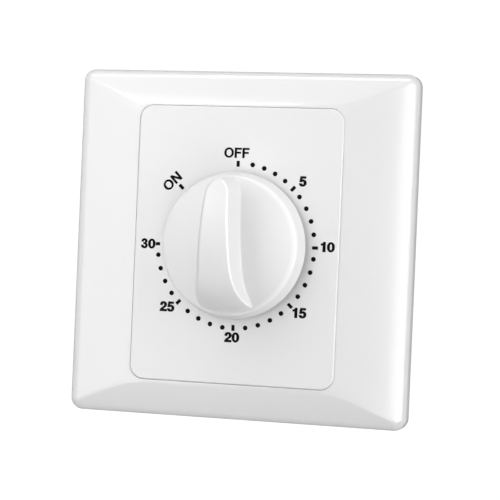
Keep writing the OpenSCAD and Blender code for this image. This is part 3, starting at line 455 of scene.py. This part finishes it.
def makeTimerKnob(s):
    rimX = s["radius"] - s["draft"] - s["rimRound"]
    domeZ = s["domeTop"] - s["domeRadius"]
    rimZ = domeZ + math.sqrt((s["domeRadius"] - s["rimRound"]) ** 2 - rimX ** 2)
    rimLean = math.atan2(rimZ - domeZ, rimX)
    edgeR = rimX + s["rimRound"] * math.cos(rimLean)
    edgeZ = rimZ + s["rimRound"] * math.sin(rimLean)
    noseY = edgeR - s["noseLong"] - s["noseSet"]
    tailR = edgeR - s["tailInset"]
    tailX = s["tailHalf"] + s["flare"]
    tailY = -math.sqrt(tailR ** 2 - tailX ** 2)
    reach = math.hypot(tailX, tailY - s["crownAt"])
    crownR = s["crownRadius"]
    fallDepth = s["gripTop"] - (crownR - math.sqrt(crownR ** 2 - reach ** 2)) - edgeZ

    def dome(x, y):
        return domeZ + math.sqrt(s["domeRadius"] ** 2 - x * x - y * y)

    def body(x, y):  # dome, then the rounded rim
        r = math.hypot(x, y)
        return dome(x, y) if r <= edgeR else rimZ + math.sqrt(s["rimRound"] ** 2 - (r - rimX) ** 2)

    def crown(x, y):  # the grip's top, which falls to the dome's edge at the tail
        r = min(math.hypot(x, y - s["crownAt"]), s["crownCap"] * crownR)
        fall = max(0, (r - s["fallFrom"]) / (reach - s["fallFrom"]))
        height = s["gripTop"] - crownR + math.sqrt(crownR ** 2 - r * r) - fallDepth * fall ** s["fallPower"]
        return max(height, dome(x, y))

    def gripHalf(y):
        along = (noseY - y) / (noseY - tailY)
        flare = max(0, (s["flareFrom"] - y) / (s["flareFrom"] - tailY))
        straight = s["noseHalf"] + (s["tailHalf"] - s["noseHalf"]) * along
        return straight + s["flare"] * flare ** s["flarePower"]

    # stations round the grip: close together where the dome's rim runs past slowly
    rows = [noseY + (tailY - noseY) * i / s["sideSteps"] for i in range(s["sideSteps"] + 1)]
    fan = range(-s["fanReach"], s["fanReach"] + 1, s["fanStep"])
    rows += [gripHalf(0) * math.tan(math.radians(a)) for a in fan]
    rows = {round(y, s["rowPlaces"]) for y in rows if tailY < y < noseY} | {noseY, tailY}
    side = [Vector((gripHalf(y), y)) for y in sorted(rows, reverse=True)]
    tailTurn = math.atan2(tailX, -tailY)
    tail = [tailTurn * (1 - 2 * i / s["tailSteps"]) for i in range(1, s["tailSteps"])]
    tail = [Vector((tailR * math.sin(a), -tailR * math.cos(a))) for a in tail]
    lean = math.radians(s["noseLean"])
    nose = [math.pi - lean - (math.pi - 2 * lean) * i / s["noseSteps"] for i in range(s["noseSteps"] + 1)]
    nose = [Vector((s["noseHalf"] * math.cos(a), noseY + s["noseLong"] * math.sin(a))) for a in nose]
    outline = side + tail + [Vector((-p.x, p.y)) for p in reversed(side)] + nose
    count = len(outline)
    spine = [Vector((0, max(min(p.y, noseY), tailY * s["spineEnd"]))) for p in outline]
    outward = []
    for i in range(count):
        run = (outline[(i + 1) % count] - outline[i - 1]).normalized()
        outward.append(Vector((-run.y, run.x)))
    height = [crown(*p) - dome(*p) for p in outline]
    topRound = [min(s["topRound"], s["roundShare"] * h) for h in height]
    footRound = [min(s["footRound"], s["roundShare"] * h) for h in height]
    onNose = [max(0, p.y - noseY) / s["noseLong"] for p in outline]
    footRound = [t * (1 - s["noseTight"] * n) for t, n in zip(footRound, onNose)]
    inner = [p - n * t for p, n, t in zip(outline, outward, topRound)]
    foot = [p + Vector((0, s["noseDraft"] * n)) for p, n in zip(outline, onNose)]  # leans out to the rim
    outer = [p + n * t for p, n, t in zip(foot, outward, footRound)]
    rim = [p.normalized() for p in outer]
    brink = [max(edgeR, p.length + s["rimGap"]) for p in outer]

    rings = []
    for i in range(s["topSteps"] + 1):  # the grip's top, from its middle line out
        flat = [m.lerp(p, i / s["topSteps"]) for m, p in zip(spine, inner)]
        rings.append([(p.x, p.y, crown(*p)) for p in flat])
    topEdge = len(rings)
    roundTurns = [math.radians(90 * i / s["roundSteps"]) for i in range(s["roundSteps"] + 1)]
    for turn in roundTurns[1:]:  # rounded top edge
        ring = []
        for p, n, t in zip(inner, outward, topRound):
            at = p + n * t * math.sin(turn)
            ring.append((at.x, at.y, crown(*p) - t * (1 - math.cos(turn))))
        rings.append(ring)
    for turn in roundTurns:  # rounded foot of the grip's wall
        ring = []
        for p, n, t, q in zip(foot, outward, footRound, outer):
            at = p + n * t * (1 - math.cos(turn))
            ring.append((at.x, at.y, body(*q) + t * (1 - math.sin(turn))))
        rings.append(ring)
    for i in range(1, s["domeSteps"] + 1):  # domed top, out to the rim
        flat = [q.lerp(c * r, i / s["domeSteps"]) for q, c, r in zip(outer, rim, brink)]
        rings.append([(p.x, p.y, body(*p)) for p in flat])
    rimEdge = len(rings)
    leans = [min(rimLean, math.acos((r - rimX) / s["rimRound"])) for r in brink]
    for i in range(1, s["rimSteps"] + 1):  # rounded rim
        ring = []
        for c, rimTurn in zip(rim, leans):
            turn = rimTurn * (1 - i / s["rimSteps"])
            r = rimX + s["rimRound"] * math.cos(turn)
            ring.append((c.x * r, c.y * r, rimZ + s["rimRound"] * math.sin(turn)))
        rings.append(ring)
    insideR = s["radius"] - s["wall"]
    for r, z in [(s["radius"], 0), (insideR, 0), (insideR, s["recess"])]:
        rings.append([(c.x * r, c.y * r, z) for c in rim])

    bm = bmesh.new()
    # a vertex layer that carries the painted highlight
    highlightLayer = bm.verts.layers.float.new("edgeHighlight")
    # a vertex layer that carries the painted shade
    shadeStrength = bm.verts.layers.float.new("edgeShade")
    lofted = loftRings(bm, rings)
    highlightRings = lofted[topEdge:topEdge + s["roundSteps"] - 1]
    shadedRings = lofted[topEdge - 1:topEdge + s["roundSteps"]]
    for ring in highlightRings:  # painted highlight, only on the grip's right edge, and not where the grip runs out
        for vert, high in zip(ring, height):
            vert[highlightLayer] = s["gripHighlight"] * min(share(vert.co.x / s["noseHalf"]), high)
    for ring, shadeAmount in zip(shadedRings, s["shadeStrength"]):  # painted shade on the other side, fading out towards the tail
        for vert, high in zip(ring, height):
            fade = share((vert.co.y - s["shadeEnd"]) / s["shadeFade"])
            vert[shadeStrength] = shadeAmount * fade * min(share(-vert.co.x / s["noseHalf"]), high)
    # painted highlight along the rim's right side
    for ring in lofted[rimEdge - 1:rimEdge + 1]:
        for vert in ring:
            vert[highlightLayer] = s["rimHighlight"] * share(vert.co.x / s["noseHalf"])
    bmesh.ops.edgeloop_fill(bm, edges=ringEdges(bm, lofted[-1]))
    bmesh.ops.translate(bm, vec=(0, 0, s["foot"]), verts=bm.verts)
    bmesh.ops.remove_doubles(bm, verts=bm.verts, dist=mergeWithin)
    made = ready("timerKnob", bm, whiteKnob, "knob_shaft", ["knob"])
    sharpen(made, s["sharpAbove"])


makeTimerKnob(timerKnob)

# Printed dial: a tick every 45 degrees, four dots between two numbers; the print isn't quite even
dialPrint = {
    "level": dialPanel["front"], "ink": 0.02, "drop": 0.05,
    "dotsAcross": 19.87, "dotsUp": 20.2, "dotRadius": 0.59, "dotSides": 24, "dotsInSpan": 4,
    "spans": [  # first dot, step
        (10.3, 8.8), (51.9, 9.4), (96.9, 9.4), (141.9, 9.4), (186.9, 9.4), (232.6, 9.6),
    ],
    "ticks": [  # turn, length
        (-45.9, 1.46), (-0.4, 1.46), (44.1, 1.46), (89.1, 1.46), (134.1, 1.46), (179.1, 1.46), (224.1, 1.46),
        (269.1, 1.1),
    ],
    "tickFoot": 19.3, "tickWide": 0.8, "tickRound": 0.12, "tickSteps": 3,
}


def onDial(turn, across, up, s):  # clockwise from the top
    angle = math.radians(turn)
    return Vector((across * math.sin(angle), up * math.cos(angle) - s["drop"], s["level"]))


def liftInk(bm, face, thick):
    made = bmesh.ops.extrude_face_region(bm, geom=[face])["geom"]
    bmesh.ops.translate(bm, vec=(0, 0, thick), verts=[v for v in made if isinstance(v, bmesh.types.BMVert)])


def makeDialPrint(s):
    bm = bmesh.new()
    for first, step in s["spans"]:
        for i in range(s["dotsInSpan"]):
            place = Matrix.Translation(onDial(first + step * i, s["dotsAcross"], s["dotsUp"], s))
            made = bmesh.ops.create_circle(
                bm, cap_ends=True, radius=s["dotRadius"], segments=s["dotSides"], matrix=place
            )
            liftInk(bm, made["verts"][0].link_faces[0], s["ink"])
    ready("dialDots", bm, dialInk, "housing")
    bm = bmesh.new()
    for turn, long in s["ticks"]:
        middle = onDial(turn, s["tickFoot"] + long / 2, s["tickFoot"] + long / 2, s)
        place = Matrix.Translation(middle) @ Matrix.Rotation(-math.radians(turn), 4, "Z")
        size = Matrix.Diagonal((s["tickWide"] / 2, long / 2, 1, 1))
        old = set(bm.faces)
        made = bmesh.ops.create_grid(bm, x_segments=1, y_segments=1, size=1, matrix=place @ size)
        bmesh.ops.bevel(
            bm, geom=made["verts"], offset=s["tickRound"], segments=s["tickSteps"], profile=0.5,
            affect="VERTICES", material=-1,
        )
        liftInk(bm, next(f for f in bm.faces if f not in old), s["ink"])
    ready("dialTicks", bm, dialInk, "housing")


makeDialPrint(dialPrint)

# Lettering: each sign has a width and one or two closed outlines, height 1; True marks a sharp corner
signs = {
    "0": (0.68, [
        [(0.34, 1), (0.60, 0.80), (0.655, 0.5), (0.60, 0.20), (0.34, 0), (0.08, 0.20), (0.025, 0.5),
         (0.08, 0.80)],
        [(0.34, 0.84), (0.24, 0.74), (0.225, 0.5), (0.24, 0.26), (0.34, 0.16), (0.44, 0.26), (0.455, 0.5),
         (0.44, 0.74)],
    ]),
    "1": (0.60, [[
        (0.44, 1, True), (0.44, 0, True), (0.23, 0, True), (0.23, 0.66, True), (0.06, 0.66, True),
        (0.06, 0.81, True), (0.20, 0.85), (0.285, 1, True),
    ]]),
    "2": (0.68, [[
        (0.05, 0.64, True), (0.09, 0.86), (0.34, 1), (0.58, 0.88), (0.64, 0.69), (0.56, 0.48), (0.39, 0.32),
        (0.31, 0.19, True), (0.64, 0.19, True), (0.64, 0, True), (0.02, 0, True), (0.08, 0.22), (0.29, 0.43),
        (0.42, 0.58), (0.43, 0.70), (0.34, 0.83), (0.26, 0.76), (0.245, 0.64, True),
    ]]),
    "3": (0.68, [[
        (0.07, 0.70, True), (0.12, 0.90), (0.33, 1), (0.53, 0.90), (0.58, 0.74), (0.53, 0.60), (0.50, 0.53),
        (0.57, 0.45), (0.605, 0.29), (0.54, 0.09), (0.33, 0), (0.11, 0.09), (0.05, 0.31, True),
        (0.235, 0.31, True), (0.26, 0.20), (0.34, 0.165), (0.42, 0.20), (0.44, 0.30), (0.40, 0.41),
        (0.26, 0.44, True), (0.26, 0.585, True), (0.37, 0.60), (0.41, 0.71), (0.39, 0.80), (0.325, 0.84),
        (0.255, 0.80), (0.235, 0.70, True),
    ]]),
    "5": (0.68, [[
        (0.60, 1, True), (0.60, 0.82, True), (0.275, 0.82, True), (0.25, 0.645, True), (0.37, 0.675),
        (0.58, 0.57), (0.65, 0.34), (0.56, 0.09), (0.32, -0.01), (0.10, 0.07), (0.03, 0.27, True),
        (0.235, 0.27, True), (0.27, 0.19), (0.335, 0.155), (0.42, 0.21), (0.445, 0.34), (0.415, 0.46),
        (0.335, 0.51), (0.24, 0.45, True), (0.06, 0.46, True), (0.13, 1, True),
    ]]),
    "O": (0.98, [
        [(0.49, 1.01), (0.80, 0.87), (0.925, 0.5), (0.80, 0.13), (0.49, -0.01), (0.18, 0.13), (0.055, 0.5),
         (0.18, 0.87)],
        [(0.49, 0.87), (0.29, 0.77), (0.215, 0.5), (0.29, 0.23), (0.49, 0.13), (0.69, 0.23), (0.765, 0.5),
         (0.69, 0.77)],
    ]),
    "F": (0.76, [[
        (0.09, 0, True), (0.09, 1, True), (0.72, 1, True), (0.72, 0.86, True), (0.255, 0.86, True),
        (0.255, 0.585, True), (0.65, 0.585, True), (0.65, 0.45, True), (0.255, 0.45, True), (0.255, 0, True),
    ]]),
    "N": (0.92, [[
        (0.09, 0, True), (0.09, 1, True), (0.26, 1, True), (0.675, 0.27, True), (0.675, 1, True),
        (0.83, 1, True), (0.83, 0, True), (0.655, 0, True), (0.245, 0.725, True), (0.245, 0, True),
    ]]),
}
lettering = {
    "height": 2.35, "middle": 0.5, "bold": 0.034, "ink": 0.02, "level": dialPanel["front"], "curveSteps": 4,
    "mergeWithin": 0.0001, "sharpAbove": 30,
    "words": [  # text, middle, turn to the left in degrees, spread
        ("OFF", (-0.6, 22.65), 0, 1.1), ("ON", (-16.8, 15.2), 44, 1.18), ("5", (16.3, 16.2), 0, 1.18),
        ("10", (23.1, 0.6), 0, 1.18), ("15", (16.8, -15.6), 0, 1.18), ("20", (0.1, -22.4), 0, 1.18),
        ("25", (-16.8, -15.7), 0, 1.18), ("30", (-22.4, -0.4), 0, 1.18),
    ],
}


def drawSigns(text, s):  # the outlines side by side, filled and given their thickness
    flat = bpy.data.curves.new("word" + text, "CURVE")
    flat.dimensions = "2D"
    flat.fill_mode = "BOTH"
    flat.resolution_u = s["curveSteps"]
    flat.extrude = s["ink"] / 2
    flat.offset = s["bold"]
    start = -sum(signs[sign][0] for sign in text) / 2
    for sign in text:
        wide, outlines = signs[sign]
        for points in outlines:
            spline = flat.splines.new("BEZIER")
            spline.bezier_points.add(len(points) - 1)
            spline.use_cyclic_u = True
            for knot, point in zip(spline.bezier_points, points):
                knot.co = (start + point[0], point[1] - s["middle"], 0)
                kind = "VECTOR" if len(point) > 2 else "AUTO"
                knot.handle_left_type = kind
                knot.handle_right_type = kind
        start += wide
    return flat


def makeWord(text, middle, turn, spread, s):
    drawn = bpy.data.objects.new("word" + text, drawSigns(text, s))
    scene.collection.objects.link(drawn)
    bpy.context.view_layer.update()
    shape = bpy.data.meshes.new_from_object(drawn.evaluated_get(bpy.context.evaluated_depsgraph_get()))
    bpy.data.objects.remove(drawn)
    bm = bmesh.new()
    bm.from_mesh(shape)
    bpy.data.meshes.remove(shape)
    bmesh.ops.remove_doubles(bm, verts=bm.verts, dist=s["mergeWithin"])
    thick = Matrix.Translation((0, 0, s["level"] + s["ink"] / 2))
    place = Matrix.Translation((*middle, 0)) @ Matrix.Rotation(math.radians(turn), 4, "Z")
    size = Matrix.Diagonal((s["height"] * spread, s["height"], 1, 1))
    bmesh.ops.transform(bm, matrix=thick @ place @ size, verts=bm.verts)
    made = ready("word" + text, bm, dialInk, "housing")
    sharpen(made, s["sharpAbove"])


for text, middle, turn, spread in lettering["words"]:
    makeWord(text, middle, turn, spread, lettering)

# Camera: turned to the right of the plate, as the photograph has it
camera = {
    "yaw": 15.5295, "pitch": 0.31965, "roll": 2.45295, "far": 0.446452, "slideX": 0.0010347,
    "slideY": -0.001014, "lens": 128.9876, "sensor": 36,
}


def makeCamera(s):
    yaw, pitch, roll = (math.radians(s[key]) for key in ("yaw", "pitch", "roll"))
    back = Vector((math.sin(yaw) * math.cos(pitch), -math.cos(yaw) * math.cos(pitch), math.sin(pitch)))
    level = Vector((math.cos(yaw), math.sin(yaw), 0))
    rise = back.cross(level)
    right = level * math.cos(roll) + rise * math.sin(roll)
    up = back.cross(right)
    data = bpy.data.cameras.new("camera")
    data.lens = s["lens"]
    data.sensor_width = s["sensor"]
    made = bpy.data.objects.new("camera", data)
    place = back * s["far"] + right * s["slideX"] + up * s["slideY"]
    made.matrix_world = Matrix.Translation(place) @ Matrix((right, up, back)).transposed().to_4x4()
    scene.collection.objects.link(made)
    scene.camera = made


makeCamera(camera)

# Studio: soft boxes round the object, a pale floor well below it
studio = {
    "skyHigh": 0.33, "skyLow": 0.08, "backdrop": 1.05, "floorDrop": 0.88, "floorHalf": 0.9, "floorParts": 8,
    "paperDark": (0.86, 0.86, 0.86), "paperLight": (0.89, 0.89, 0.89), "paperRough": 0.9,
    "fibre": 0.01, "fibreDetail": 4,
    "boxes": [  # name, turn to the right, rise, distance, width, height, watts, what it reaches
        ("keyBox", -35, 12, 0.42, 0.3, 0.5, 1.22, "all"),
        ("highBox", -28, 52, 0.42, 0.36, 0.24, 0.28, "all"),
        ("topBox", 0, 72, 0.8, 0.9, 0.2, 1.45, "all"),
        ("lowBox", 24, -26, 0.8, 0.5, 0.3, 1.44, "all"),
        ("rightBox", 55, 40, 1.6, 0.9, 0.7, 1.6, "all"),
        ("sideBox", 82, 4, 1.6, 0.7, 1.1, 15.5, "all"),
        ("gleamA", 28, 0, 0.9, 0.38, 0.8, 5, "gloss"),
        ("gleamB", 54, 0, 0.9, 0.42, 0.8, 15, "gloss"),
        ("mitreBox", -25, 22, 0.5, 0.18, 0.13, 0.85, "gloss"),
        ("topGleam", -21, 75, 0.8, 0.36, 0.1, 1.3, "gloss"),
        ("rearBox", 180, 14, 1, 0.4, 0.3, 5, "matte"),
    ],
}


def makeBoxes(s):
    for name, turn, rise, far, width, height, watts, reach in s["boxes"]:
        turn, rise = math.radians(turn), math.radians(rise)
        way = Vector((math.sin(turn) * math.cos(rise), -math.cos(turn) * math.cos(rise), math.sin(rise)))
        data = bpy.data.lights.new(name, "AREA")
        data.shape = "RECTANGLE"
        data.size = width
        data.size_y = height
        data.energy = watts
        made = bpy.data.objects.new(name, data)
        made.location = way * far
        made.rotation_euler = (-way * far).to_track_quat("-Z", "Y").to_euler()
        made.visible_diffuse = reach != "gloss"
        made.visible_glossy = reach != "matte"
        scene.collection.objects.link(made)


def makeSky(s):  # the camera sees an even backdrop, everything else a sky that is brighter above
    world = bpy.data.worlds.new("studio")
    scene.world = world
    world.use_nodes = True
    wire = Wire(world.node_tree)
    seen = wire.add("LightPath", out="Is Camera Ray")
    back = world.node_tree.nodes["Background"]
    back.inputs["Color"].default_value = (1, 1, 1, 1)
    rise = wire.add("SeparateXYZ", inputs={0: wire.add("TexCoord", out="Generated")}, out="Z")
    sky = rise * ((s["skyHigh"] - s["skyLow"]) / 2) + (s["skyHigh"] + s["skyLow"]) / 2
    wire.put(back.inputs["Strength"], seen * (s["backdrop"] - sky) + sky)
    scene.view_settings.view_transform = "Standard"


def makeFloor(s):
    bm = bmesh.new()
    bmesh.ops.create_grid(bm, x_segments=s["floorParts"], y_segments=s["floorParts"], size=s["floorHalf"])
    bmesh.ops.translate(bm, vec=(0, 0, -s["floorDrop"]), verts=bm.verts)
    mesh = bpy.data.meshes.new("floor")
    bm.to_mesh(mesh)
    bm.free()
    paper, wire, shader = newMaterial("paper")
    fibre = noiseOn(wire, s["fibre"], s["fibreDetail"])
    wire.put(shader.inputs["Base Color"], mixed(wire, fibre, s["paperDark"], s["paperLight"]))
    shader.inputs["Roughness"].default_value = s["paperRough"]
    mesh.materials.append(paper)
    made = bpy.data.objects.new("floor", mesh)
    scene.collection.objects.link(made)


makeBoxes(studio)
makeSky(studio)
makeFloor(studio)
print("camera and studio set")
